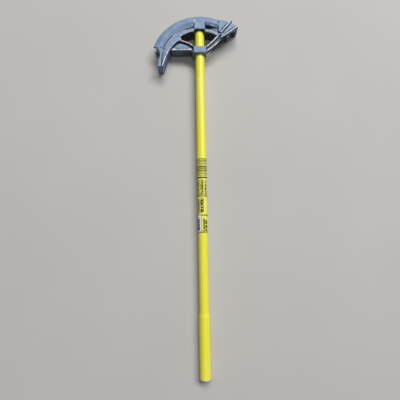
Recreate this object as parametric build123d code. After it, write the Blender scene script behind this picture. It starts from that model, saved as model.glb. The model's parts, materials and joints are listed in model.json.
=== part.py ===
"""Hand conduit bender lying on its side: one cast head, one screwed-in handle, a label and a sticker.

Everything is first built in the tool's own frame and laid down at the end:
X across the head, Y up the handle's axis, Z square to the head's flat sides.
Millimetres.
"""
import os
from math import atan, atan2, cos, degrees, hypot, radians, sin, tan

from build123d import *

# Conduit and shoe: the sizes that everything on the head follows from
CONDUIT_OD = 23.4
CONDUIT_GAP = 0.4
BEND_RADIUS = 130.0
GROOVE_RADIUS = CONDUIT_OD / 2 + CONDUIT_GAP
SHOE_X = -0.3
SHOE_Y = 856.2
SHOE_EDGE = 140.2
SHOE_RIDGE = 125.0
SHOE_BACK = 111.0
VALLEY_RADIUS = 113.0
SHOE_START = 56.0
NOSE_START = 44.0
NOSE_DEPTH = 14.0
SHOE_END = 160.0

# Half widths of the casting, measured from the middle plane of the head
HALF_WIDTH = 21.5
RIDGE_HALF = 19.8
EDGE_HALF = 17.0
BLOCK_HALF = 20.5
RIB_HALF = 18.0
BAND_HALF = 19.5
VALLEY_HALF = 14.8
RIM_HALF = 17.5
POCKET_HALF = 6.0
WEB_HALF = 12.0
BEAD_HALF = 13.5
NOSE_HALF = 11.0

# Inner rim along the top of the window, and the pockets between rim and shoe
RIM_INNER = 94.5
RIM_OUTER = 103.5
RIM_START = 57.0
RIM_END = 96.0
BAND_OUTER = 110.0
BAND_FULL = 140.0
POCKET_START = 61.0
POCKET_END = 90.0
POCKET_OUTER = 116.0
RAMP_FROM = 20.0
RAMP_TO = 48.0

# Handle, 38 inches long
HANDLE_START = 6.4
HANDLE_LENGTH = 965.2
HANDLE_TOP = HANDLE_START + HANDLE_LENGTH
TUBE_RADIUS = 13.35
TUBE_BORE = 10.75
SWAGE_RADIUS = 14.9
SWAGE_BORE = 12.5
SWAGE_TOP = 158.0
SWAGE_TAPER = 12.0
LIP_BREAK = 0.6
SCREW_RADIUS = 12.6
SCREW_PITCH = 1.81
SCREW_GROOVE = 0.8
CREST_FROM = 0.35
SHOULDER_CHAMFER = 0.7
RUNNING_FIT = 0.05

# Where the handle passes through the head
SOCKET_Y = 956.0
SOCKET_TOP = 979.0
SOCKET_HALF = 15.0
SOCKET_CLEARANCE = 0.6
COLLAR_LOW = 884.0
COLLAR_HIGH = 903.5
COLLAR_HALF = 17.5
COLLAR_FAR_HALF = 11.0
COLLAR_FAR = 17.8
COLLAR_WAIST = 3.0
COLLAR_GAP = 0.75
BLOCK_DRAFT = 3.0

# Foot pedal
PEDAL_END = 843.0
PEDAL_LEFT = -120.0
PEDAL_RIGHT = -105.0
PEDAL_RIB = 4.5

# Labels
LABEL_FROM = 376.0
LABEL_TO = 580.0
FILM = 0.15
STICKER_FROM = 377.0
STICKER_TO = 423.0
STICKER_MIDDLE = 142.0
STICKER_SPAN = 62.0

# Hook: the conduit leaves the shoe along the tangent at this angle
HOOK_ANGLE = 50.0
HOOK_PLATE = 18.0
HOOK_LOW = 4.0
HOOK_RIB_WIDTH = 3.5
ARM_WEB = 13.5
ARM_LOW = 2.0
ARM_RIB_LOW = -4.0
LOWER_RIB_HALF = 15.5
LIP_TOUCH_Y = 950.0
SLOT_BACK = 28.0

CORNER = 2.0
EDGE_ROUND = 1.2
RIB_ROUND = 1.0
RIB_WIDTH = 4.0
BEAD_WIDTH = 5.0
OVERRUN = 60.0

# The tool lies on the pedal, the hook lip and the rim of the handle's lower end
LEAN = degrees(atan((HALF_WIDTH - SWAGE_RADIUS) / (PEDAL_END - HANDLE_START)))
LIP_LOW = -(HALF_WIDTH + (LIP_TOUCH_Y - PEDAL_END) * tan(radians(LEAN)))


def on_shoe(angle, radius):
    """Point at a polar angle, in degrees, and a distance from the centre of the shoe's arc."""
    return (SHOE_X + radius * cos(radians(angle)), SHOE_Y + radius * sin(radians(angle)))


def outline(points, radius):
    """Closed flat outline through the points, with its outer corners rounded."""
    sharp = make_face(Polyline(*points, close=True))
    return offset(offset(sharp, -radius), radius)


def slab(face, high, low=None, round_over=EDGE_ROUND):
    """Plate between two heights, symmetric about the middle plane unless told; its rims are softened."""
    low = -high if low is None else low
    body = Pos(0, 0, low) * extrude(face, high - low)
    rims = body.edges().group_by(Axis.Z)
    return fillet(rims[-1] + rims[0], round_over) if round_over else body


def swept_about_shoe(profile, start, end):
    """Face drawn as (radius, z) turned about the centre of the shoe's arc between two polar angles."""
    plane = Plane(
        origin=(SHOE_X, SHOE_Y, 0),
        x_dir=(cos(radians(start)), sin(radians(start)), 0),
        z_dir=(sin(radians(start)), -cos(radians(start)), 0),
    )
    return revolve(plane * profile, Axis((SHOE_X, SHOE_Y, 0), (0, 0, 1)), end - start)


def mirrored(near_side):
    """Closed profile on both sides of the middle plane, from its (radius, z) points on the near side."""
    far_side = [(radius, -height) for radius, height in reversed(near_side)]
    return make_face(Polyline(*near_side, *far_side, close=True))


def strip(centre_line, width, high, low=None):
    """Rib of constant width along a line of points."""
    face = Sketch()
    for (x1, y1), (x2, y2) in zip(centre_line, centre_line[1:]):
        middle = Pos((x1 + x2) / 2, (y1 + y2) / 2)
        angle = degrees(atan2(y2 - y1, x2 - x1))
        face += middle * Rot(0, 0, angle) * SlotCenterToCenter(hypot(x2 - x1, y2 - y1), width)
    return slab(face, high, low, RIB_ROUND)


def ring_band(inner, outer, half, start, end):
    """Flat piece of ring about the centre of the shoe's arc."""
    return swept_about_shoe(mirrored([(inner, half), (outer, half)]), start, end)


def shoe_band():
    """Outer band of the shoe, thickest along a ridge and thinning to the lips of the groove."""
    near_side = [
        (SHOE_BACK, VALLEY_HALF),
        (VALLEY_RADIUS, VALLEY_HALF),
        (SHOE_RIDGE, RIDGE_HALF),
        (SHOE_EDGE - 1, EDGE_HALF),
        (SHOE_EDGE, EDGE_HALF - 1),
    ]
    return swept_about_shoe(mirrored(near_side), SHOE_START, SHOE_END)


def shoe_nose():
    """Low front of the shoe that carries the conduit under the hook."""
    return ring_band(SHOE_BACK, SHOE_BACK + NOSE_DEPTH, NOSE_HALF, NOSE_START, SHOE_START + 1)


def pocket_wall():
    """Thin wall behind the pockets, between the shoe and the top of the window."""
    return ring_band(RIM_INNER, POCKET_OUTER + 1, POCKET_HALF, RIM_START, SHOE_END)


def window_rim():
    """Raised rim along the top of the window."""
    near_side = [
        (RIM_INNER, RIM_HALF - 1),
        (RIM_INNER + 1, RIM_HALF),
        (RIM_OUTER - 1, RIM_HALF),
        (RIM_OUTER, RIM_HALF - 1),
    ]
    return swept_about_shoe(mirrored(near_side), RIM_START, RIM_END)


def pocket_cut():
    """Deep pocket on both sides between the socket and the hook arm, cut before its wall is added."""
    return ring_band(RIM_OUTER, POCKET_OUTER, 2 * HALF_WIDTH, POCKET_START, POCKET_END)


def pocket_ramp():
    """Floor of the pocket beside the socket, rising on both sides until it meets the shoe's valley."""
    near_side = [(RAMP_FROM, POCKET_HALF), (RAMP_TO, VALLEY_HALF), (SHOE_RIDGE, VALLEY_HALF)]
    wedge = extrude(Plane.XZ * mirrored(near_side), -2 * SHOE_Y)
    return wedge & ring_band(RIM_OUTER - 1, POCKET_OUTER, HALF_WIDTH, POCKET_START - 1, POCKET_END)


def inner_band():
    """Band inside the shoe on the pedal side; it widens until the pocket beside it closes."""
    angles = range(int(RIM_END), int(SHOE_END) + 1, 4)
    widening = (BAND_OUTER - RIM_OUTER) / (BAND_FULL - RIM_END)
    outer = [on_shoe(a, min(BAND_OUTER, RIM_OUTER + widening * (a - RIM_END))) for a in angles]
    inner = [on_shoe(a, RIM_INNER) for a in range(122, int(RIM_END) - 1, -4)]
    points = outer + [
        (-108, 886),
        (-95, 872),
        (-89.5, 886),
        (-83, 898),
        (-75, 908),
        (-67, 916),
        (-60, 920.5),
        (-51, 923),
        (-55, 932),
    ] + inner
    return slab(outline(points, CORNER), BAND_HALF)


def pedal():
    """Foot pedal: the tail below the shoe, full width of the head, with a rib along its inner edge."""
    points = [
        (-124, 900),
        (-117, 893),
        (-114, 884),
        (-114, 875),
        (-117, 864),
        (PEDAL_LEFT - 1, PEDAL_END),
        (PEDAL_RIGHT, PEDAL_END),
        (-101, 855),
        (-95, 872),
        (-90, 885),
        (-100, 893),
        (-108, 900),
    ]
    tail = slab(outline(points, CORNER), HALF_WIDTH - 1)
    rib = strip([(-106.5, 845.5), (-103.3, 855), (-97.5, 872), (-91.5, 887)], PEDAL_RIB, HALF_WIDTH)
    return tail + rib


def left_spoke():
    """Web and rib that tie the pedal end of the shoe to the collar."""
    points = [
        (-86, 890),
        (-82, 895.5),
        (-25, 895.5),
        (-19, 888),
        (-12, 888),
        (-12, 901),
        (-28, 913),
        (-43, 920),
        (-62, 922),
        (-74, 912),
    ]
    web = slab(outline(points, CORNER), WEB_HALF)
    rib = strip([(-64, 920.5), (-56, 922.5), (-43, 919), (-28, 912.5), (-17, 904)], RIB_WIDTH, RIB_HALF)
    bead = strip([(-79, 898), (-27, 898)], BEAD_WIDTH, BEAD_HALF)
    return web + rib + bead


def hook_arm():
    """Arm from the collar out to the hook, all on the near half of the head so the conduit can pass."""
    points = [
        (12, 898),
        (14, 904),
        (22, 907),
        (31, 915),
        (40, 925),
        (45, 937),
        (54, 946),
        (60, 956),
        (72, 958),
        (80, 941),
        (70, 934.5),
        (62, 928),
        (52, 917),
        (41, 906),
        (30, 897.5),
        (18, 889),
    ]
    web = slab(outline(points, CORNER), ARM_WEB, ARM_LOW)
    window_line = [(14, 899), (22, 905), (31, 913), (41, 923), (51, 934), (61, 945), (71, 956)]
    lower_line = [(20, 892), (29, 898.5), (41, 907.5), (52, 918.5), (62, 929.5), (71, 936)]
    window_rib = strip(window_line, RIB_WIDTH, RIM_HALF, ARM_RIB_LOW)
    lower_rib = strip(lower_line, RIB_WIDTH, LOWER_RIB_HALF, ARM_LOW)
    return web + window_rib + lower_rib


def hook():
    """Near-side plate that crosses the conduit, and the lip that wraps over its outer side."""
    plate_points = [
        (54, 950),
        (56, 984),
        (80, 979.5),
        (85, 975),
        (93, 973.5),
        (102.5, 969.5),
        (110.5, 963.5),
        (99.5, 953.5),
        (89, 946),
        (78, 938.5),
        (66, 932),
    ]
    bridge_points = [(54, 950), (56, 984), (80, 979.5), (82, 970), (71, 956), (61, 945)]
    lip_points = [
        (79, 966),
        (85, 975),
        (93, 973.5),
        (102.5, 969.5),
        (111.5, 963.5),
        (102.5, 954),
        (96, 948),
    ]
    outer_line = [(61, 945), (71, 956), (81, 967.5), (87.5, 976), (93.5, 984.5)]
    lower_line = [(62, 930), (71, 936), (80, 941.5), (91, 949), (101, 956.5), (109, 962.5)]
    plate = slab(outline(plate_points, CORNER), HOOK_PLATE, HOOK_LOW)
    bridge = slab(outline(bridge_points, CORNER), BAND_HALF, HOOK_LOW)
    lip = slab(outline(lip_points, CORNER), HOOK_PLATE, LIP_LOW)
    outer_rib = strip(outer_line, HOOK_RIB_WIDTH, HALF_WIDTH, HOOK_LOW)
    lower_rib = strip(lower_line, RIB_WIDTH, HALF_WIDTH, HOOK_LOW)
    return plate + bridge + lip + outer_rib + lower_rib


def handle_block(half_profile, low, high):
    """Boss round the handle, from the (x, z) points down one side of it."""
    corners = half_profile + [(-x, z) for x, z in reversed(half_profile)]
    plane = Plane(origin=(0, high, 0), x_dir=(1, 0, 0), z_dir=(0, -1, 0))
    block = extrude(plane * outline(corners, CORNER), high - low)
    return fillet(block.edges().group_by(Axis.Y)[0], EDGE_ROUND)


def socket():
    """Boss under the shoe that the handle screws into."""
    near_side = [(SOCKET_HALF, BLOCK_HALF), (SOCKET_HALF + BLOCK_DRAFT, BLOCK_HALF / 2)]
    far_side = [(x, -z) for x, z in reversed(near_side)]
    return handle_block(near_side + far_side, SOCKET_Y, SOCKET_TOP)


def collar():
    """Boss that steadies the handle: flat on the near side, narrower on the far side."""
    waist = COLLAR_HALF + BLOCK_DRAFT
    half_profile = [
        (COLLAR_HALF, BLOCK_HALF),
        (waist, COLLAR_WAIST),
        (waist, -COLLAR_WAIST),
        (COLLAR_FAR_HALF, -COLLAR_FAR),
    ]
    return handle_block(half_profile, COLLAR_LOW, COLLAR_HIGH)


def handle_bore(radius, low, high):
    """Round hole along the handle's axis."""
    plane = Plane(origin=(0, low, 0), x_dir=(1, 0, 0), z_dir=(0, 1, 0))
    return extrude(plane * Circle(radius), high - low)


def conduit_groove():
    """Channel in the shoe, as wide as the conduit and rounded at its floor."""
    channel = Pos(BEND_RADIUS, 0) * Circle(GROOVE_RADIUS)
    mouth = SHOE_EDGE + 1 - BEND_RADIUS
    channel += Pos(BEND_RADIUS + mouth / 2, 0) * Rectangle(mouth, 2 * GROOVE_RADIUS)
    return swept_about_shoe(channel, HOOK_ANGLE, SHOE_END + 25)


def hook_seat():
    """Straight channel through the hook, along the tangent and open towards the far side."""
    turn = radians(HOOK_ANGLE)
    plane = Plane(
        origin=(*on_shoe(HOOK_ANGLE, BEND_RADIUS), 0),
        x_dir=(cos(turn), sin(turn), 0),
        z_dir=(sin(turn), -cos(turn), 0),
    )
    channel = Circle(GROOVE_RADIUS) + Pos(0, -OVERRUN / 2) * Rectangle(2 * GROOVE_RADIUS, OVERRUN)
    forward = extrude(plane * channel, OVERRUN)
    backward = extrude(plane * channel, -SLOT_BACK)
    return forward + backward


def bender_head():
    """The whole casting, with the handle's holes and the conduit's channels cut through it."""
    casting = shoe_band() - pocket_cut()
    casting += shoe_nose() + pocket_wall() + pocket_ramp() + window_rim() + inner_band() + pedal()
    casting += left_spoke() + hook_arm() + hook() + collar() + socket()
    casting -= conduit_groove()
    casting -= hook_seat()
    casting -= handle_bore(SCREW_RADIUS + RUNNING_FIT, SOCKET_Y - 1, HANDLE_TOP + SOCKET_CLEARANCE)
    casting -= handle_bore(TUBE_RADIUS + COLLAR_GAP, COLLAR_LOW - 1, SOCKET_Y)
    casting -= Pos(0, SOCKET_Y - SOCKET_HALF) * Box(2 * SOCKET_HALF, 2 * SOCKET_HALF, OVERRUN)
    return casting


def screw_profile():
    """Crests and roots down the screwed end, as (radius, y) points from the top to the shoulder."""
    root = SCREW_RADIUS - SCREW_GROOVE
    points = [(root, HANDLE_TOP)]
    for turn in range(int((HANDLE_TOP - SOCKET_Y) / SCREW_PITCH)):
        top = HANDLE_TOP - turn * SCREW_PITCH
        points.append((SCREW_RADIUS, top - SCREW_PITCH * CREST_FROM))
        points.append((SCREW_RADIUS, top - SCREW_PITCH * (1 - CREST_FROM)))
        points.append((root, top - SCREW_PITCH))
    return points


def handle_tube():
    """Steel tube, swaged wider at its lower end and screwed at its upper end."""
    rim = HANDLE_START + LIP_BREAK
    outside = [
        (SWAGE_RADIUS - LIP_BREAK, HANDLE_START),
        (SWAGE_RADIUS, rim),
        (SWAGE_RADIUS, SWAGE_TOP),
        (TUBE_RADIUS, SWAGE_TOP + SWAGE_TAPER),
        (TUBE_RADIUS, SOCKET_Y - 1),
        (SCREW_RADIUS - SCREW_GROOVE, SOCKET_Y - 1 + SHOULDER_CHAMFER),
    ]
    inside = [
        (TUBE_BORE, HANDLE_TOP),
        (TUBE_BORE, SWAGE_TOP + SWAGE_TAPER),
        (SWAGE_BORE, SWAGE_TOP),
        (SWAGE_BORE, rim),
        (SWAGE_BORE + LIP_BREAK, HANDLE_START),
    ]
    profile = make_face(Polyline(*outside, *reversed(screw_profile()), *inside, close=True))
    return revolve(profile, Axis.Y, 360)


def wrap_label():
    """Printed film wrapped right round the tube."""
    sleeve = handle_bore(TUBE_RADIUS + FILM, LABEL_FROM, LABEL_TO)
    return sleeve - handle_bore(TUBE_RADIUS, LABEL_FROM - 1, LABEL_TO + 1)


def white_sticker():
    """Small sticker over the label, on the left of its lower panel."""
    inner = TUBE_RADIUS + FILM
    outer = inner + FILM
    angles = [STICKER_MIDDLE + share * STICKER_SPAN / 2 for share in (-1, 0, 1)]
    reach = [(2 * outer * cos(radians(a)), 2 * outer * sin(radians(a))) for a in angles]
    wedge = make_face(Polyline((0, 0), *reach, close=True))
    plane = Plane(origin=(0, STICKER_TO, 0), x_dir=(1, 0, 0), z_dir=(0, -1, 0))
    return extrude(plane * ((Circle(outer) - Circle(inner)) & wedge), STICKER_TO - STICKER_FROM)


def laid_down(shape):
    """Lean the tool about X so the handle's rim, the pedal and the hook lip all touch one flat floor."""
    return Rot(LEAN, 0, 0) * shape


def main():
    """Build every piece, lay the tool down with the origin under its middle, and write its files."""
    pieces = {
        "bender_head": bender_head(),
        "handle_tube": handle_tube(),
        "wrap_label": wrap_label(),
        "white_sticker": white_sticker(),
    }
    lying = {name: laid_down(shape) for name, shape in pieces.items()}
    copies = [Solid(solid.wrapped) for shape in lying.values() for solid in shape.solids()]
    box = Compound(children=copies).bounding_box()
    to_origin = Pos(-box.center().X, -box.center().Y, -box.min.Z)
    os.makedirs("parts", exist_ok=True)
    for name, shape in lying.items():
        placed = to_origin * shape
        print(name, len(placed.solids()), placed.bounding_box(), round(placed.volume, 1))
        export_step(placed, f"parts/{name}.step")


if __name__ == "__main__":
    main()
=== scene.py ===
"""Looks of the hand conduit bender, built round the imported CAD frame. Metres."""

import json
import math
import random

import bmesh
import bpy
import numpy as np
from mathutils import Euler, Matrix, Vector, noise


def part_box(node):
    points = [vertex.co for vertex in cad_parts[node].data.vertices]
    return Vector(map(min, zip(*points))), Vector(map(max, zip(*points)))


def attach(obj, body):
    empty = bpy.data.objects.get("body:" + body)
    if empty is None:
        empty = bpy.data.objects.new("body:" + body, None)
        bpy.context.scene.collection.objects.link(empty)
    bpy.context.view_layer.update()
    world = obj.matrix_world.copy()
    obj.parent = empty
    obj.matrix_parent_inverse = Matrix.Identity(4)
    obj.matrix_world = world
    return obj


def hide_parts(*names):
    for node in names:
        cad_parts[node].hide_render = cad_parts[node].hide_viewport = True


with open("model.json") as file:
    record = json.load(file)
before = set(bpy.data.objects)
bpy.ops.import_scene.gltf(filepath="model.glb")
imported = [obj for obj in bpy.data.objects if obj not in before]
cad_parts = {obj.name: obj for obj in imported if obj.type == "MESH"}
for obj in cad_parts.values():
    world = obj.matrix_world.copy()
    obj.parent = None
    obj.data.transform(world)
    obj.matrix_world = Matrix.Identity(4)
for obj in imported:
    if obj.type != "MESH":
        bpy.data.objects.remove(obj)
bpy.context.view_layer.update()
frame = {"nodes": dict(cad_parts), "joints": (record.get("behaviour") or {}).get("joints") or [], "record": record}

MM = 0.001
TURN = 2 * math.pi
draw = random.Random(11)

# The handle's axis and sizes. The frame gives the places and outer sizes. The wall, taper and screw
# lie inside the solid's box, so their sizes are stated here as the CAD has them.
AXIS = -Vector(frame["joints"][0]["axis"]).normalized()
ACROSS = Vector((1, 0, 0))
UP = ACROSS.cross(AXIS).normalized()
OPEN_END = [mount for mount in frame["record"]["mounts"] if mount["name"] == "handle_open_end"][0]
RIM_BREAK = 0.6 * MM
BORE_LENGTH = OPEN_END["dims"]["length_mm"] * MM
START = Vector(OPEN_END["pos_m"]) - AXIS * (BORE_LENGTH / 2 + RIM_BREAK)

FILM = 0.15 * MM
tube_low, tube_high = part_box("handle_tube")
label_low, label_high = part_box("wrap_label")
sticker_low, sticker_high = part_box("white_sticker")
head_low, head_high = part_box("bender_head")
FILM_RADIUS = (label_high.x - label_low.x) / 2
TUBE_RADIUS = FILM_RADIUS - FILM
TUBE_WALL = 2.6 * MM
TUBE_BORE = TUBE_RADIUS - TUBE_WALL
SWAGE_RADIUS = (tube_high.x - tube_low.x) / 2
SWAGE_BORE = OPEN_END["dims"]["r_mm"] * MM
SWAGE_LENGTH = BORE_LENGTH + RIM_BREAK
SWAGE_TAPER = 12 * MM
HANDLE_LENGTH = (tube_high.y - START.y) / AXIS.y
SCREW_LENGTH = 15.6 * MM
SCREW_PITCH = 1.81 * MM
SCREW_DEPTH = 0.8 * MM
SCREW_CREST = TUBE_RADIUS - 0.75 * MM
SHOULDER = HANDLE_LENGTH - SCREW_LENGTH
LABEL_FROM = (label_low.y - START.y) / AXIS.y
LABEL_TO = (label_high.y - START.y) / AXIS.y
STICKER_FROM = (sticker_low.y - START.y) / AXIS.y
STICKER_TO = (sticker_high.y - START.y) / AXIS.y


def on_handle(angle, radius, along):
    """Point round the handle: angle 0 is up and grows to the right, along is from the open end."""
    return START + AXIS * along + UP * (radius * math.cos(angle)) + ACROSS * (radius * math.sin(angle))


def new_piece(name, mesh, body, material, smooth=True):
    """Object for a finished mesh, riding on its CAD body."""
    piece = bpy.data.objects.new(name, mesh)
    bpy.context.scene.collection.objects.link(piece)
    mesh.materials.clear()
    mesh.materials.append(material)
    for face in mesh.polygons:
        face.use_smooth = smooth
    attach(piece, body)
    return piece


def mesh_from(name, points, faces, merge=True):
    """Mesh from points and faces, with its normals made consistent and points that coincide joined."""
    mesh = bpy.data.meshes.new(name)
    mesh.from_pydata([tuple(p) for p in points], [], faces)
    shape = bmesh.new()
    shape.from_mesh(mesh)
    if merge:
        bmesh.ops.remove_doubles(shape, verts=shape.verts, dist=1e-6)
    bmesh.ops.recalc_face_normals(shape, faces=shape.faces)
    shape.to_mesh(mesh)
    shape.free()
    return mesh


def closed_grid(rows, columns):
    """Quads of a grid of points that closes on itself both ways, as a tube's skin does."""
    faces = []
    for i in range(rows):
        for j in range(columns):
            here = i * columns
            there = (i + 1) % rows * columns
            beside = (j + 1) % columns
            faces.append((here + j, here + beside, there + beside, there + j))
    return faces


# ---------------------------------------------------------------- material helpers


NOISE_ROUGHNESS = 0.55


class Nodes:
    """Short names for building one material's node tree."""

    def __init__(self, name):
        self.material = bpy.data.materials.new(name)
        self.material.use_nodes = True
        self.tree = self.material.node_tree
        self.shader = self.tree.nodes["Principled BSDF"]

    def node(self, kind, **settings):
        """New node with its settings."""
        made = self.tree.nodes.new(kind)
        for key, value in settings.items():
            setattr(made, key, value)
        return made

    def plug(self, source, target):
        """Give an input a number, a colour or another node's output."""
        if isinstance(source, (int, float)):
            target.default_value = source
        elif isinstance(source, tuple):
            target.default_value = source if len(source) == 4 else (*source, 1)
        else:
            self.tree.links.new(source, target)

    def place(self):
        """Position on the object, in metres."""
        return self.node("ShaderNodeTexCoord").outputs["Object"]

    def attribute(self, name):
        """Value stored at each point of the mesh."""
        return self.node("ShaderNodeAttribute", attribute_name=name).outputs["Fac"]

    def noise(self, scale, detail=3.0, stretch=(1, 1, 1)):
        """Cloudy pattern about 0.5; scale is roughly in patches per metre."""
        mapping = self.node("ShaderNodeMapping")
        mapping.inputs["Scale"].default_value = stretch
        self.plug(self.place(), mapping.inputs["Vector"])
        made = self.node("ShaderNodeTexNoise")
        made.inputs["Scale"].default_value = scale
        made.inputs["Detail"].default_value = detail
        made.inputs["Roughness"].default_value = NOISE_ROUGHNESS
        self.plug(mapping.outputs[0], made.inputs["Vector"])
        return made.outputs["Fac"]

    def swing(self, scale, detail, reach):
        """Cloudy pattern that swings about zero."""
        return self.math("MULTIPLY", self.math("SUBTRACT", self.noise(scale, detail), 0.5), reach)

    def math(self, operation, a, b):
        """One sum of two values."""
        made = self.node("ShaderNodeMath", operation=operation)
        self.plug(a, made.inputs[0])
        self.plug(b, made.inputs[1])
        return made.outputs[0]

    def ramp(self, value, low, high):
        """0 below low, 1 above high and smooth between."""
        made = self.node("ShaderNodeMapRange", interpolation_type="SMOOTHSTEP")
        self.plug(value, made.inputs["Value"])
        made.inputs["From Min"].default_value = low
        made.inputs["From Max"].default_value = high
        return made.outputs["Result"]

    def span(self, value, low, high):
        """A value from 0 to 1, spread from low to high."""
        made = self.node("ShaderNodeMapRange")
        self.plug(value, made.inputs["Value"])
        made.inputs["To Min"].default_value = low
        made.inputs["To Max"].default_value = high
        return made.outputs["Result"]

    def mix(self, amount, a, b):
        """Colour a, turning into colour b by the amount."""
        made = self.node("ShaderNodeMix", data_type="RGBA")
        self.plug(amount, made.inputs[0])
        self.plug(a, made.inputs[6])
        self.plug(b, made.inputs[7])
        return made.outputs[2]

    def bump(self, height, distance, strength, below=None):
        """Fine relief, on top of another if one is given."""
        made = self.node("ShaderNodeBump")
        made.inputs["Distance"].default_value = distance
        made.inputs["Strength"].default_value = strength
        self.plug(height, made.inputs["Height"])
        if below is not None:
            self.plug(below, made.inputs["Normal"])
        return made.outputs["Normal"]

    def finish(self, colour, roughness, normal=None, **fixed):
        """Connect the shader and give the finished material."""
        self.plug(colour, self.shader.inputs["Base Color"])
        self.plug(roughness, self.shader.inputs["Roughness"])
        if normal is not None:
            self.plug(normal, self.shader.inputs["Normal"])
        for key, value in fixed.items():
            self.shader.inputs[key.replace("_", " ")].default_value = value
        return self.material


# ---------------------------------------------------------------- materials

CAST_BLUE = (0.138, 0.216, 0.338)
CAST_DARK = (0.078, 0.122, 0.190)
CAST_PALE = (0.195, 0.285, 0.415)
BARE_METAL = (0.54, 0.49, 0.49)
SMEAR = (0.58, 0.54, 0.53)
SHADE_AND_GRIME = (0.014, 0.016, 0.020)
YELLOW = (0.80, 0.77, 0.050)
YELLOW_DEEP = (0.70, 0.66, 0.040)
SCUFF_HIGHLIGHT_PALE = (0.80, 0.79, 0.50)
FILM_YELLOW = (0.80, 0.77, 0.100)
INK = (0.018, 0.018, 0.016)
STICKER_WHITE = (0.74, 0.75, 0.78)
NAVY = (0.012, 0.024, 0.060)
COAT_SPECK = (0.12, 0.10, 0.03)
COAT_RUBBED = (0.66, 0.65, 0.56)
STEEL = (0.36, 0.35, 0.34)
STEEL_STAIN = (0.16, 0.13, 0.10)
FILM_GRUB = (0.50, 0.47, 0.09)
FILM_SPECK = (0.16, 0.15, 0.05)
STICKER_GRUB = (0.42, 0.41, 0.42)
FLOOR_LOW = (0.44, 0.43, 0.41)
FLOOR_HIGH = (0.48, 0.47, 0.45)


def cast_metal():
    """Sand-cast aluminium under a dull blue-grey skin, bright where edges are rubbed and with a painted highlight
    along the side ridge, darkened by painted shade with some grime in hollows, creases, pockets, on walls facing
    the open end and under the hook.
    """
    n = Nodes("cast_metal")
    wear = n.attribute("edge_wear_and_highlight")
    shade_and_grime = n.attribute("shade_and_grime")
    smear = n.attribute("smear")
    broad = n.ramp(n.noise(46, 5), 0.38, 0.64)
    fine = n.ramp(n.noise(520, 3), 0.35, 0.68)
    colour = n.mix(n.math("MULTIPLY", broad, 0.8), CAST_BLUE, CAST_PALE)
    colour = n.mix(n.math("MULTIPLY", fine, 0.24), colour, CAST_DARK)
    ragged = n.swing(170, 4, 1.3)
    # Painted shade with some grime: darkens hollows, creases, pockets, walls facing the open end and parts under
    # the hook.
    shade_and_grime_mask = n.ramp(n.math("ADD", shade_and_grime, n.math("MULTIPLY", ragged, 0.4)), 0.12, 0.62)
    colour = n.mix(n.math("MULTIPLY", shade_and_grime_mask, 0.88), colour, SHADE_AND_GRIME)
    # Rubbed edges, with a painted highlight along the ridge.
    rubbed = n.ramp(n.math("ADD", wear, ragged), 0.44, 0.80)
    colour = n.mix(n.math("MULTIPLY", rubbed, 0.72), colour, BARE_METAL)
    smeared = n.ramp(n.math("ADD", smear, n.math("MULTIPLY", ragged, 0.7)), 0.30, 0.85)
    colour = n.mix(n.math("MULTIPLY", smeared, 0.72), colour, SMEAR)
    roughness = n.math("SUBTRACT", n.span(fine, 0.52, 0.66), n.math("MULTIPLY", rubbed, 0.16))
    normal = n.bump(n.noise(430, 3), 0.22 * MM, 0.8)
    normal = n.bump(n.noise(1150, 2), 0.10 * MM, 0.6, normal)
    return n.finish(colour, roughness, normal, Metallic=0.25)


def yellow_coat():
    """Powder coat on the tube: slight orange peel, pale scuffs along it that also serve as painted highlight
    streaks, and rubbed pale at the open end.
    """
    n = Nodes("yellow_coat")
    rim = n.attribute("end_wear")
    tone = n.ramp(n.noise(9, 3, (1, 0.3, 1)), 0.35, 0.65)
    speck = n.ramp(n.noise(520, 3), 0.70, 0.78)
    # Pale streaks along the tube: scuffs, and partly painted highlight streaks.
    scratch_and_highlight_streaks = n.ramp(n.noise(620, 2, (1, 0.02, 1)), 0.56, 0.70)
    scuff_and_highlight = n.math("MULTIPLY", scratch_and_highlight_streaks, n.ramp(n.noise(22, 3, (1, 0.25, 1)), 0.46, 0.62))
    colour = n.mix(n.math("MULTIPLY", tone, 0.5), YELLOW, YELLOW_DEEP)
    colour = n.mix(n.math("MULTIPLY", scuff_and_highlight, 0.6), colour, SCUFF_HIGHLIGHT_PALE)
    colour = n.mix(n.math("MULTIPLY", speck, 0.55), colour, COAT_SPECK)
    ragged = n.swing(230, 4, 0.9)
    worn = n.ramp(n.math("ADD", rim, ragged), 0.42, 0.70)
    colour = n.mix(worn, colour, COAT_RUBBED)
    roughness = n.math("ADD", n.span(tone, 0.30, 0.40), n.math("MULTIPLY", scuff_and_highlight, 0.2))
    normal = n.bump(n.noise(330, 2), 0.05 * MM, 0.7)
    return n.finish(colour, roughness, normal, Specular_IOR_Level=0.38)


def bare_steel():
    """Oiled steel of the screw thread and the inside of the tube."""
    n = Nodes("bare_steel")
    stain = n.ramp(n.noise(60, 4), 0.35, 0.7)
    colour = n.mix(stain, STEEL, STEEL_STAIN)
    normal = n.bump(n.noise(700, 2), 0.04 * MM, 0.6)
    return n.finish(colour, n.span(stain, 0.32, 0.5), normal, Metallic=0.9)


def label_film():
    """Clear-coated yellow-green film, a little grubby."""
    n = Nodes("label_film")
    grub = n.ramp(n.noise(70, 5), 0.45, 0.75)
    speck = n.ramp(n.noise(600, 3), 0.66, 0.76)
    colour = n.mix(n.math("MULTIPLY", grub, 0.40), FILM_YELLOW, FILM_GRUB)
    colour = n.mix(n.math("MULTIPLY", speck, 0.5), colour, FILM_SPECK)
    normal = n.bump(n.noise(120, 2), 0.05 * MM, 0.5)
    return n.finish(colour, n.span(grub, 0.30, 0.42), normal)


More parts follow.
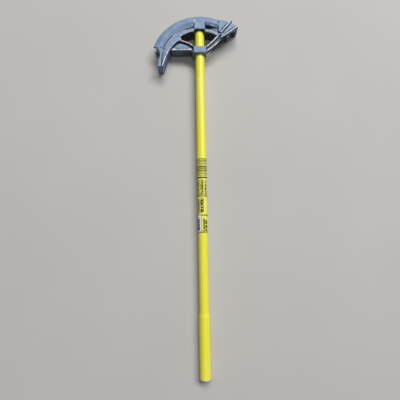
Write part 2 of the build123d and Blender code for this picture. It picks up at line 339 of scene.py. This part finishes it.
def ink():
    """Black print, rubbed thin in places."""
    n = Nodes("ink")
    rubbed = n.ramp(n.noise(500, 4), 0.64, 0.76)
    colour = n.mix(n.math("MULTIPLY", rubbed, 0.35), INK, FILM_YELLOW)
    return n.finish(colour, n.span(rubbed, 0.50, 0.62), Specular_IOR_Level=0.3)


def sticker_paper():
    """White sticker, scuffed and slightly grey."""
    n = Nodes("sticker_paper")
    grub = n.ramp(n.noise(160, 5), 0.50, 0.75)
    colour = n.mix(n.math("MULTIPLY", grub, 0.5), STICKER_WHITE, STICKER_GRUB)
    normal = n.bump(n.noise(300, 3), 0.05 * MM, 0.5)
    return n.finish(colour, n.span(grub, 0.45, 0.6), normal)


def navy_print():
    """Dark blue print on the sticker, with worn gaps."""
    n = Nodes("navy_print")
    rubbed = n.ramp(n.noise(420, 4), 0.62, 0.74)
    colour = n.mix(n.math("MULTIPLY", rubbed, 0.4), NAVY, STICKER_WHITE)
    return n.finish(colour, n.span(rubbed, 0.50, 0.62), Specular_IOR_Level=0.3)


def floor_paint():
    """Plain pale floor."""
    n = Nodes("floor_paint")
    tone = n.noise(3, 2)
    return n.finish(n.mix(tone, FLOOR_LOW, FLOOR_HIGH), 0.8)


# ---------------------------------------------------------------- cast head

VOXEL = 1.15 * MM


def remeshed(name, source, voxel):
    """Even quad mesh of a CAD node's solid."""
    bare = bpy.data.objects.new(name + "_source", source.data.copy())
    bpy.context.scene.collection.objects.link(bare)
    even = bare.modifiers.new("even", "REMESH")
    even.mode = "VOXEL"
    even.voxel_size = voxel
    graph = bpy.context.evaluated_depsgraph_get()
    mesh = bpy.data.meshes.new_from_object(bare.evaluated_get(graph))
    mesh.name = name
    bpy.data.objects.remove(bare)
    return mesh


class Surface:
    """Points and neighbours of a mesh as arrays, for smoothing and measuring curvature."""

    def __init__(self, mesh):
        self.mesh = mesh
        count = len(mesh.vertices)
        self.points = np.zeros(count * 3)
        mesh.vertices.foreach_get("co", self.points)
        self.points = self.points.reshape(-1, 3)
        ends = np.zeros(len(mesh.edges) * 2, int)
        mesh.edges.foreach_get("vertices", ends)
        self.ends = ends.reshape(-1, 2)
        self.valence = np.bincount(ends, minlength=count).astype(float)

    def average(self, values):
        """Mean of each point's neighbours."""
        values = values.reshape(len(self.valence), -1)
        total = np.zeros_like(values)
        for axis in range(values.shape[1]):
            for here, there in ((0, 1), (1, 0)):
                total[:, axis] += np.bincount(
                    self.ends[:, here], weights=values[self.ends[:, there], axis], minlength=len(self.valence)
                )
        return total / self.valence[:, None]

    def smooth(self, rounds, amount=0.5, keep=0.53):
        """Taubin smoothing: rounds the edges over without shrinking the whole."""
        for _ in range(rounds):
            for factor in (amount, -keep):
                self.points += factor * (self.average(self.points) - self.points)

    def store(self):
        """Put the points back into the mesh."""
        self.mesh.vertices.foreach_set("co", self.points.ravel())
        self.mesh.update()

    def normals(self):
        """Direction out of the surface at each point."""
        self.store()
        found = np.zeros(len(self.valence) * 3)
        self.mesh.vertices.foreach_get("normal", found)
        return found.reshape(-1, 3)

    def bulge(self, rounds):
        """How far each point stands out of its surroundings, in metres; more rounds look wider."""
        base = self.points.copy()
        spread = base.copy()
        for _ in range(rounds):
            spread = self.average(spread)
        return ((base - spread) * self.normals()).sum(1)

    def write(self, name, values):
        """Store one value per point for the material to read."""
        attribute = self.mesh.attributes.new(name, "FLOAT", "POINT")
        attribute.data.foreach_set("value", values.astype(np.float32))


# The shoe's rim and the ridge on its side, and where wear or painted shade starts and stops: radii round its
# middle
SHOE_EDGE = 140.2 * MM
RIDGE_RADIUS = 125 * MM
RIDGE_WIDTH = 3 * MM
FLANGE_START = 116 * MM
BAND_START = 108 * MM
WEB_END = 110 * MM
BOSS_TOP = 123 * MM
SHOE_MIDDLE = Vector((START.x, head_high.y - SHOE_EDGE, 0))

# More such limits: BOSS, HOOK and PEDAL are across the head from the handle's axis, WINDOWS is up the
# handle from its open end, RIB is a height over the axis, and SOCKET is a radius round it
BOSS_HALF = 19 * MM
BOSS_REACH = 21 * MM
HOOK_START = 52 * MM
UNDER_HOOK_START = 58 * MM
PEDAL_SIDE = -95 * MM
WINDOWS_START = 892 * MM
RIB_FACE = 19.9 * MM
SOCKET_CLEAR = 15.5 * MM

# Marks on the near side, in millimetres: across the head, up the handle from its open end, and size
PEDAL_CREASE = ((-101, 890), (-105.5, 876), (-108.5, 860), (-109, 842), (-107.5, 824))
# Painted shade spots in the pockets beside the boss: across, along and size.
POCKET_SHADE = ((25, 958, 5.5), (31, 955, 4.0), (-34, 948, 4.0))
SMEARS = (
    (-14, 976, 3.6), (-16.5, 970.5, 3.0), (-19.5, 965, 3.2), (33.5, 963.2, 2.8), (37.5, 961.8, 2.6),
    (41.5, 959.6, 2.6), (-27, 892, 4.0), (-74, 894, 4.0),
)


def fade_in(values, start, width):
    """0 up to the start, rising to 1 over the width."""
    return np.clip((values - start) / width, 0, 1)


def fade_out(values, end, width):
    """1 at first, falling to 0 at the end over the width."""
    return np.clip((end - values) / width, 0, 1)


def along_and_across(points):
    """Places seen square to the head: across from the handle's axis, and along it from its open end."""
    rest = points - np.array(START)
    return rest @ np.array(ACROSS), rest @ np.array(AXIS)


def height_over_axis(points):
    """Height over the handle's axis, square to the head."""
    return (points - np.array(START)) @ np.array(UP)


def round_the_shoe(points):
    """Places seen from the shoe's middle: how far to the right, and how far out."""
    offset = points[:, :2] - np.array(SHOE_MIDDLE)[:2]
    return offset[:, 0], np.hypot(offset[:, 0], offset[:, 1])


def rub_and_ridge_highlight(points, normals):
    """How rubbed edges are: fully on ribs and pedal, less on the shoe, on bosses only their lower edges; along the
    ridge the rub is raised as a painted highlight.
    """
    right, radius = round_the_shoe(points)
    on_band = fade_in(radius, BAND_START, 6 * MM)
    beside_hook = fade_in(right, HOOK_START, 6 * MM)
    on_boss = fade_out(np.abs(right), BOSS_HALF, 2 * MM) * (radius < BOSS_TOP)
    # Painted highlight along the ridge, given as extra rubbed edge.
    ridge_highlight = np.exp(-(((radius - RIDGE_RADIUS) / RIDGE_WIDTH) ** 2))
    share = 1 - (0.80 - 0.38 * ridge_highlight) * on_band * (1 - beside_hook) * (1 - on_boss)
    across, _ = along_and_across(points)
    low_edge = np.clip(-1.6 * (normals @ np.array(AXIS)), 0.2, 1)
    on_rib = np.maximum(fade_in(np.abs(height_over_axis(points)), RIB_FACE, MM), 0.2)
    share = np.where(across > HOOK_START, share * on_rib, share)
    return np.where(np.abs(across) < BOSS_REACH, share * low_edge, share)


def spots(points, places):
    """Soft round spots on the near side, each given by its place and size; 1 at the middle of each."""
    across, along = along_and_across(points)
    total = np.zeros(len(points))
    for x, y, size in places:
        far = ((across - x * MM) ** 2 + (along - y * MM) ** 2) / (size * MM) ** 2
        total = np.maximum(total, np.exp(-far))
    return total * (points[:, 2] > head_high.z * 0.55)


def crease(points, path, width):
    """1 on a line through the given places on the near side, falling off over a width."""
    across, along = along_and_across(points)
    here = np.stack([across, along], 1)
    nearest = np.full(len(points), 1.0)
    for start, end in zip(path, path[1:]):
        a, b = np.array(start) * MM, np.array(end) * MM
        share = np.clip((here - a) @ (b - a) / ((b - a) @ (b - a)), 0, 1)
        gap = np.linalg.norm(here - a - share[:, None] * (b - a), axis=1)
        nearest = np.minimum(nearest, gap)
    return np.exp(-((nearest / width) ** 2)) * (points[:, 2] > head_high.z * 0.75)


def painted_shade_on_end_walls(points, normals):
    """Painted shade on the upright walls that face the open end: most inside the windows."""
    _, along = along_and_across(points)
    _, radius = round_the_shoe(points)
    inside = fade_out(radius, WEB_END, 4 * MM)
    upright = np.clip(1.6 - 2.4 * np.abs(normals[:, 2]), 0, 1)
    towards_end = np.clip(-1.5 * (normals @ np.array(AXIS)), 0, 1)
    window = fade_in(along, WINDOWS_START, 4 * MM)
    return inside * upright * towards_end * (0.30 + 0.32 * window)


def painted_shade_on_flange_and_hook(points):
    """Painted shade on the far flange beside the pedal and on the parts under the hook."""
    across, _ = along_and_across(points)
    _, radius = round_the_shoe(points)
    height = height_over_axis(points)
    on_flange = fade_in(radius, FLANGE_START, 4 * MM)
    far_flange = (across < PEDAL_SIDE) * on_flange * fade_out(height, 0, 4 * MM)
    under_hook = fade_in(across, UNDER_HOOK_START, 4 * MM) * fade_out(height, 12 * MM, 6 * MM)
    return np.maximum(0.40 * far_flange, 0.42 * under_hook)


def lumps(points, size):
    """Smooth unevenness at each point, with lumps of about the given size."""
    return np.array([noise.noise(Vector(p) / size) for p in points])


def skin_lift(surface, groove):
    """How far each point moves out: uneven skin, pits, nicked edges and the crease; the bores stay true."""
    edge = np.clip(surface.bulge(4) / (0.35 * MM), 0, 1)
    nick = np.maximum(lumps(surface.points, 7 * MM) - 0.25, 0)
    lift = lumps(surface.points, 14 * MM) * 0.20 * MM + lumps(surface.points, 2.6 * MM) * 0.06 * MM
    lift = lift - nick * edge * MM - groove * 0.8 * MM
    bore_distance = np.linalg.norm(np.cross(surface.points - np.array(START), np.array(AXIS)), axis=1)
    lift[bore_distance < SOCKET_CLEAR] = 0
    return lift


def mark_wear_and_shade(surface, groove):
    """Store where the casting is rubbed and smeared, and where painted shade with some grime darkens it, for its
    material.
    """
    edge = surface.bulge(4) / (0.36 * MM)
    hollow = surface.bulge(12) / (0.56 * MM)
    normals = surface.normals()
    # Painted shade with some grime: hollows and the pedal crease are darkened where shade falls in them.
    shade_and_grime_mask = np.clip(-hollow, 0, 1) + 0.24 * groove
    # Painted shade on walls facing the open end, on the far flange and under the hook.
    shade_and_grime_mask += painted_shade_on_end_walls(surface.points, normals) + painted_shade_on_flange_and_hook(surface.points)
    surface.write("edge_wear_and_highlight", np.clip(edge, 0, 1) * rub_and_ridge_highlight(surface.points, normals))
    # The pocket spots beside the boss add painted shade.
    surface.write("shade_and_grime", np.clip(shade_and_grime_mask + 0.6 * spots(surface.points, POCKET_SHADE), 0, 1))
    surface.write("smear", spots(surface.points, SMEARS))


def cast_head():
    """The casting: CAD shape with rounded edges, an uneven sand-cast skin and rubbed, nicked edges."""
    mesh = remeshed("cast_head", frame["nodes"]["bender_head"], VOXEL)
    surface = Surface(mesh)
    surface.smooth(4)
    groove = crease(surface.points, PEDAL_CREASE, 2.3 * MM)
    surface.points += surface.normals() * skin_lift(surface, groove)[:, None]
    mark_wear_and_shade(surface, groove)
    surface.points = np.clip(surface.points, np.array(head_low), np.array(head_high))
    surface.store()
    piece = new_piece("cast_head", mesh, "head", cast_metal())
    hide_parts("bender_head")
    return piece


# ---------------------------------------------------------------- handle

ROUND = 96
ANGLES = [TURN * k / ROUND for k in range(ROUND)]
RIM_WEAR = 4.5 * MM
BORE_WEAR = 2.0 * MM
PAINT_END = SHOULDER - 1.2 * MM


def eased(t):
    """Smooth step from 0 to 1."""
    t = min(max(t, 0.0), 1.0)
    return t * t * (3 - 2 * t)


def outer_radius(along, angle):
    """Outside of the tube: rolled rim, swage, smooth taper, plain tube and the screw thread."""
    if along < RIM_BREAK * 2:
        t = 1 - along / (RIM_BREAK * 2)
        return SWAGE_RADIUS - RIM_BREAK * (1 - math.sqrt(max(0.0, 1 - t * t)))
    if along <= SWAGE_LENGTH + SWAGE_TAPER:
        t = eased((along - SWAGE_LENGTH) / SWAGE_TAPER)
        return SWAGE_RADIUS + (TUBE_RADIUS - SWAGE_RADIUS) * t
    if along <= SHOULDER - 1 * MM:
        return TUBE_RADIUS
    turn = (along - SHOULDER) / SCREW_PITCH - angle / TURN
    tooth = abs(2 * (turn - math.floor(turn)) - 1)
    fade = min(1.0, (HANDLE_LENGTH - along) / (1.2 * MM) + 0.35)
    return SCREW_CREST - SCREW_DEPTH * (1 - tooth * fade)


def stations():
    """Places along the handle where its skin gets a ring of points."""
    rim = [RIM_BREAK * 2 * k / 6 for k in range(7)]
    swage = list(np.linspace(4 * MM, SWAGE_LENGTH - 4 * MM, 18))
    taper = list(np.linspace(SWAGE_LENGTH - 2 * MM, SWAGE_LENGTH + SWAGE_TAPER + 2 * MM, 17))
    plain = list(np.linspace(SWAGE_LENGTH + SWAGE_TAPER + 8 * MM, SHOULDER - 2 * MM, 60))
    thread = list(np.arange(SHOULDER - 0.9 * MM, HANDLE_LENGTH, SCREW_PITCH / 8))
    return rim + swage + taper + plain + thread + [HANDLE_LENGTH]


def skin_radius(along, angle):
    """Outside of the tube with the coat's slight unevenness, which only goes inwards."""
    radius = outer_radius(along, angle)
    if along < SHOULDER - 1.5 * MM:
        wobble = noise.noise(Vector((math.cos(angle), math.sin(angle), along / (40 * MM))))
        radius += min(0.0, 0.05 * MM * wobble)
    return radius


def bore_profile():
    """Places along the inside of the tube and its radius there, from the screwed end to the open end."""
    return [
        (HANDLE_LENGTH, TUBE_BORE + 0.4 * MM),
        (HANDLE_LENGTH - 0.5 * MM, TUBE_BORE),
        (HANDLE_LENGTH * 0.5, TUBE_BORE),
        (SWAGE_LENGTH + SWAGE_TAPER, TUBE_BORE),
        (SWAGE_LENGTH + SWAGE_TAPER * 0.5, (TUBE_BORE + SWAGE_BORE) / 2),
        (SWAGE_LENGTH, SWAGE_BORE),
        (SWAGE_LENGTH * 0.5, SWAGE_BORE),
        (RIM_BREAK, SWAGE_BORE),
        (0.0, SWAGE_BORE + RIM_BREAK * 0.8),
    ]


def handle():
    """The tube as one closed skin: coated outside, bare steel on the screw and inside."""
    outside = stations()
    inside = bore_profile()
    points = [on_handle(angle, skin_radius(along, angle), along) for along in outside for angle in ANGLES]
    wear = [math.exp(-along / RIM_WEAR) for along in outside for _ in ANGLES]
    points += [on_handle(angle, radius, along) for along, radius in inside for angle in ANGLES]
    wear += [math.exp(-along / BORE_WEAR) for along, _ in inside for _ in ANGLES]
    faces = closed_grid(len(outside) + len(inside), ROUND)
    mesh = mesh_from("handle_skin", points, faces, merge=False)
    attribute = mesh.attributes.new("end_wear", "FLOAT", "POINT")
    attribute.data.foreach_set("value", np.array(wear, np.float32))
    piece = new_piece("handle_skin", mesh, "handle", yellow_coat())
    mesh.materials.append(bare_steel())
    last_coated = sum(along <= PAINT_END for along in outside) - 1
    for face in mesh.polygons:
        if min(face.vertices) // ROUND >= last_coated:
            face.material_index = 1
    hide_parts("handle_tube")
    return piece


# ---------------------------------------------------------------- label, print and sticker


FILM_ROWS = 20
FILM_GAP = 0.02 * MM
TILE_ANGLE = math.radians(5)


def patch(points, faces, angle_from, angle_to, along_from, along_to, low, high, columns=0, rows=1):
    """Add a thin curved tile on the handle, between two radii, to lists of points and faces."""
    columns = columns or max(1, int(abs(angle_to - angle_from) / TILE_ANGLE))
    first = len(points)
    for radius in (low, high):
        for i in range(rows + 1):
            for j in range(columns + 1):
                angle = angle_from + (angle_to - angle_from) * j / columns
                along = along_from + (along_to - along_from) * i / rows
                points.append(on_handle(angle, radius, along))
    size = (rows + 1) * (columns + 1)

    def at(layer, i, j):
        return first + layer * size + i * (columns + 1) + j

    for i in range(rows):
        for j in range(columns):
            faces.append((at(0, i, j), at(0, i, j + 1), at(0, i + 1, j + 1), at(0, i + 1, j)))
            faces.append((at(1, i, j), at(1, i + 1, j), at(1, i + 1, j + 1), at(1, i, j + 1)))
    for i in range(rows):
        for j in (0, columns):
            faces.append((at(0, i, j), at(0, i + 1, j), at(1, i + 1, j), at(1, i, j)))
    for j in range(columns):
        for i in (0, rows):
            faces.append((at(0, i, j), at(0, i, j + 1), at(1, i, j + 1), at(1, i, j)))


def label():
    """Film wrapped round the tube, as a closed sleeve with its own thickness."""
    points = []
    rows = [LABEL_FROM + (LABEL_TO - LABEL_FROM) * k / FILM_ROWS for k in range(FILM_ROWS + 1)]
    for radius, order in ((FILM_RADIUS, rows), (TUBE_RADIUS + FILM_GAP, rows[::-1])):
        points += [on_handle(angle, radius, along) for along in order for angle in ANGLES]
    mesh = mesh_from("label_sleeve", points, closed_grid(2 * len(rows), ROUND))
    piece = new_piece("label_sleeve", mesh, "handle", label_film())
    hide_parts("wrap_label")
    return piece


PRINT_LIFT = 0.03 * MM
INK_LOW = FILM_RADIUS - PRINT_LIFT
INK_HIGH = FILM_RADIUS + PRINT_LIFT
FULL_TURN = (-math.pi, math.pi - 0.001)

# Rulings round the label and rows of dashes between them: millimetres above its lower end, and widths
RULINGS = (
    (46.2, 2.6), (97.6, 2.0), (101.0, 1.6), (147.8, 3.8), (158.2, 1.6), (161.2, 1.6),
    (168.0, 2.6), (172.2, 2.2), (178.0, 3.4), (192.0, 2.0), (196.0, 2.0), (201.4, 1.8),
)
DASH_ROWS = (
    (153.8, 1.9), (164.6, 2.0), (175.2, 1.7), (183.4, 2.0), (187.6, 2.0), (198.8, 1.6),
)

# Lines of stand-in print along the handle: angle, height, from, to, mark length, share inked
PRINT_LINES = (
    (-63, 2.6, 103, 145, 4.0, 0.90), (-51, 2.7, 103, 145, 4.4, 0.90), (-39, 2.4, 104, 143, 4.0, 0.88),
    (-16, 2.7, 104, 145, 4.4, 0.90), (-4, 2.9, 103, 144, 4.6, 0.90), (8, 2.6, 104, 145, 4.0, 0.88),
    (31, 2.6, 104, 143, 4.4, 0.88), (43, 2.7, 103, 145, 4.0, 0.90), (54, 2.3, 104, 142, 4.0, 0.86),
    (-10, 6.6, 54, 94, 4.4, 0.90), (9, 2.4, 55, 92, 3.6, 0.84), (-53, 4.0, 52, 92, 3.2, 0.86),
    (-39, 1.8, 56, 92, 3.4, 0.78), (14, 4.6, 5, 41, 4.0, 0.92), (43, 6.6, 5, 38, 4.4, 0.92),
    (-14, 0.8, 2, 45, 40.0, 1.0),
)
BACK_TURN = 180


def ring_line(points, faces, along, width):
    """Printed line right round the label."""
    patch(points, faces, *FULL_TURN, along, along + width, INK_LOW, INK_HIGH, ROUND // 2)


def dash_row(points, faces, along, width):
    """Row of short printed dashes right round the label."""
    angle = -math.pi
    while angle < math.pi - 0.2:
        reach = draw.uniform(1.8, 5.0) * MM / FILM_RADIUS
        patch(points, faces, angle, angle + reach, along, along + width, INK_LOW, INK_HIGH)
        angle += reach + draw.uniform(0.5, 1.1) * MM / FILM_RADIUS


def print_line(points, faces, angle, height, along_from, along_to, mark, inked):
    """Row of plain marks along the handle, in place of a line of print."""
    half = height / FILM_RADIUS / 2
    along = along_from
    while along < along_to - 0.4 * mark:
        length = min(draw.uniform(0.7, 1.3) * mark, along_to - along)
        cut = draw.choice((0.0, 0.0, 0.0, 0.0, 0.3, -0.3)) * half
        low, high = angle - half + max(cut, 0), angle + half + min(cut, 0)
        patch(points, faces, low, high, along, along + length * inked, INK_LOW, INK_HIGH)
        along += length + draw.choice((0.0, 0.0, 0.0, 0.0, 0.4)) * mark


def label_print():
    """Generic print: ruled chart, rows of small marks and bold marks, none of it lettering."""
    points, faces = [], []
    for along, width in RULINGS:
        ring_line(points, faces, LABEL_FROM + along * MM, width * MM)
    for along, width in DASH_ROWS:
        dash_row(points, faces, LABEL_FROM + along * MM, width * MM)
    for side in (0, BACK_TURN):
        for angle, height, low, high, mark, inked in PRINT_LINES:
            print_line(
                points, faces, math.radians(angle + side), height * MM,
                LABEL_FROM + low * MM, LABEL_FROM + high * MM, mark * MM, inked,
            )
    mesh = mesh_from("label_print", points, faces)
    return new_piece("label_print", mesh, "handle", ink(), smooth=False)


STICKER_RIGHT = -math.asin((START.x - sticker_high.x) / FILM_RADIUS)
STICKER_DROP = sticker_low.z - START.z - AXIS.z * STICKER_FROM
STICKER_LEFT = -math.acos(STICKER_DROP / FILM_RADIUS)
STICKER_LENGTH = STICKER_TO - STICKER_FROM


def sticker():
    """White sticker over the label."""
    points, faces = [], []
    low, high = FILM_RADIUS, FILM_RADIUS + FILM
    patch(points, faces, STICKER_LEFT, STICKER_RIGHT, STICKER_FROM, STICKER_TO, low, high, 20, 12)
    mesh = mesh_from("sticker_patch", points, faces)
    piece = new_piece("sticker_patch", mesh, "handle", sticker_paper())
    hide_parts("white_sticker")
    return piece


# Dark blocks on the sticker, as shares of its width from the left and of its length from the lower end
STICKER_BLOCKS = (
    (0.03, 0.72, 0.13, 0.31), (0.03, 0.36, 0.34, 0.50), (0.41, 0.72, 0.33, 0.51),
    (0.03, 0.72, 0.53, 0.64), (0.03, 0.72, 0.66, 0.77),
)


def sticker_print():
    """Dark blue blocks on the sticker."""
    points, faces = [], []
    low, high = FILM_RADIUS + 0.6 * FILM, FILM_RADIUS + FILM + PRINT_LIFT
    width = STICKER_RIGHT - STICKER_LEFT
    for left, right, bottom, top in STICKER_BLOCKS:
        patch(
            points, faces, STICKER_LEFT + left * width, STICKER_LEFT + right * width,
            STICKER_FROM + bottom * STICKER_LENGTH, STICKER_FROM + top * STICKER_LENGTH, low, high,
        )
    mesh = mesh_from("sticker_print", points, faces)
    return new_piece("sticker_print", mesh, "handle", navy_print(), smooth=False)


# ---------------------------------------------------------------- stage, camera and lights


FLOOR_HALF = 14.0
WORLD_COLOUR = (0.86, 0.92, 1.0, 1)
WORLD_STRENGTH = 0.05
CAMERA_HEIGHT = 831 * MM
CAMERA_TURN = (7.243, -0.275, -0.971)


def stage_floor():
    """Plain pale floor under the tool."""
    corners = [(x * FLOOR_HALF, y * FLOOR_HALF, 0) for x, y in ((-1, -1), (1, -1), (1, 1), (-1, 1))]
    mesh = bpy.data.meshes.new("stage_floor")
    mesh.from_pydata(corners, [], [(0, 1, 2, 3)])
    mesh.materials.append(floor_paint())
    ground = bpy.data.objects.new("stage_floor", mesh)
    bpy.context.scene.collection.objects.link(ground)


def softbox(name, place, aim, size, power):
    """Large soft lamp aimed at a point."""
    lamp = bpy.data.lights.new(name, "AREA")
    lamp.shape = "RECTANGLE"
    lamp.size, lamp.size_y = size
    lamp.energy = power
    holder = bpy.data.objects.new(name, lamp)
    bpy.context.scene.collection.objects.link(holder)
    holder.location = place
    holder.rotation_euler = (Vector(aim) - Vector(place)).to_track_quat("-Z", "Y").to_euler()


def lights():
    """Soft key from beyond the head, far off so that it lights the tube evenly, and a weak lamp above."""
    middle = START + AXIS * (HANDLE_LENGTH * 0.6)
    softbox("key", middle + Vector((2.8, 5.5, 7.3)), middle, (9.0, 3.0), 1210)
    softbox("top", middle + Vector((0.4, -0.9, 5.0)), middle, (2.4, 1.6), 40)
    world = bpy.data.worlds.new("room")
    bpy.context.scene.world = world
    world.use_nodes = True
    background = world.node_tree.nodes["Background"]
    background.inputs["Color"].default_value = WORLD_COLOUR
    background.inputs["Strength"].default_value = WORLD_STRENGTH
    bpy.context.scene.view_settings.view_transform = "Standard"


def camera():
    """Looking down on the tool from 0.83 m over the floor, tilted a little towards the head."""
    lens = bpy.data.cameras.new("camera")
    lens.lens = 27
    lens.sensor_width = 36
    lens.clip_start = 0.05
    lens.clip_end = 50
    holder = bpy.data.objects.new("camera", lens)
    bpy.context.scene.collection.objects.link(holder)
    holder.location = (START.x - 12.2 * MM, START.y + 356.0 * MM, CAMERA_HEIGHT)
    holder.rotation_euler = Euler([math.radians(turn) for turn in CAMERA_TURN], "XYZ")
    bpy.context.scene.camera = holder


camera()
lights()
stage_floor()
cast_head()
handle()
label()
label_print()
sticker()
sticker_print()
